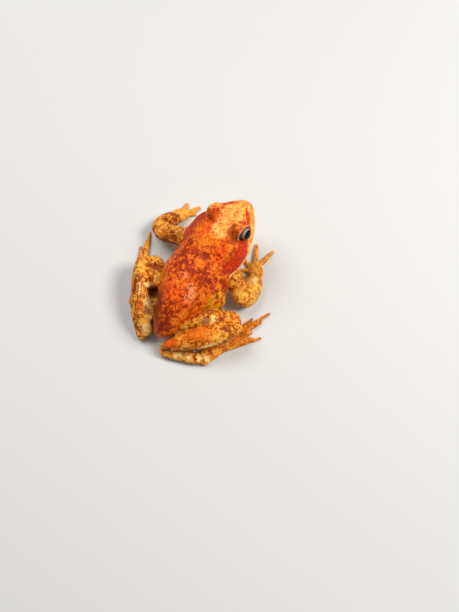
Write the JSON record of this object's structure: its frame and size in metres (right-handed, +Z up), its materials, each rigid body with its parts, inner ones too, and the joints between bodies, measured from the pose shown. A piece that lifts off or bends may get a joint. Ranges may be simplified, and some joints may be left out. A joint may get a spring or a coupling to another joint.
{
  "type": "common frog",
  "caption": "Still, life-size common frog sitting on its belly, hind legs folded along its sides, arms out, fingers and toes spread, head raised and turned a little.",
  "frame": {"origin": "middle of the belly's resting patch, on the floor", "axes": "the frog faces -Y, its left side is +X, up is +Z"},
  "size_m": [0.0605, 0.0617, 0.0292],
  "materials": {
    "back_skin": "moist orange-red skin with fine dark specks and granules",
    "head_skin": "moist tan-orange skin with a dark red-brown mask behind the eye",
    "throat_skin": "moist cream to yellow skin, mottled with orange",
    "leg_skin": "moist orange skin with dark red-brown bars and cream blotches",
    "arm_skin": "moist golden-orange skin with dark red-brown bars",
    "eye": "wet, very glossy dark eye with a gold-flecked iris",
    "eardrum": "thin smooth dark red-brown skin"
  },
  "bodies": {
    "root": {"ear_left": "eardrum", "ear_right": "eardrum", "eye_left": "eye", "eye_right": "eye", "foot_left": "leg_skin", "foot_right": "leg_skin", "forearm_left": "arm_skin", "forearm_right": "arm_skin", "hand_left": "arm_skin", "hand_right": "arm_skin", "head": "head_skin", "lower_jaw": "throat_skin", "shank_left": "leg_skin", "shank_right": "leg_skin", "tarsus_left": "leg_skin", "tarsus_right": "leg_skin", "thigh_left": "leg_skin", "thigh_right": "leg_skin", "trunk": "back_skin", "upper_arm_left": "arm_skin", "upper_arm_right": "arm_skin"}
  },
  "joints": []
}
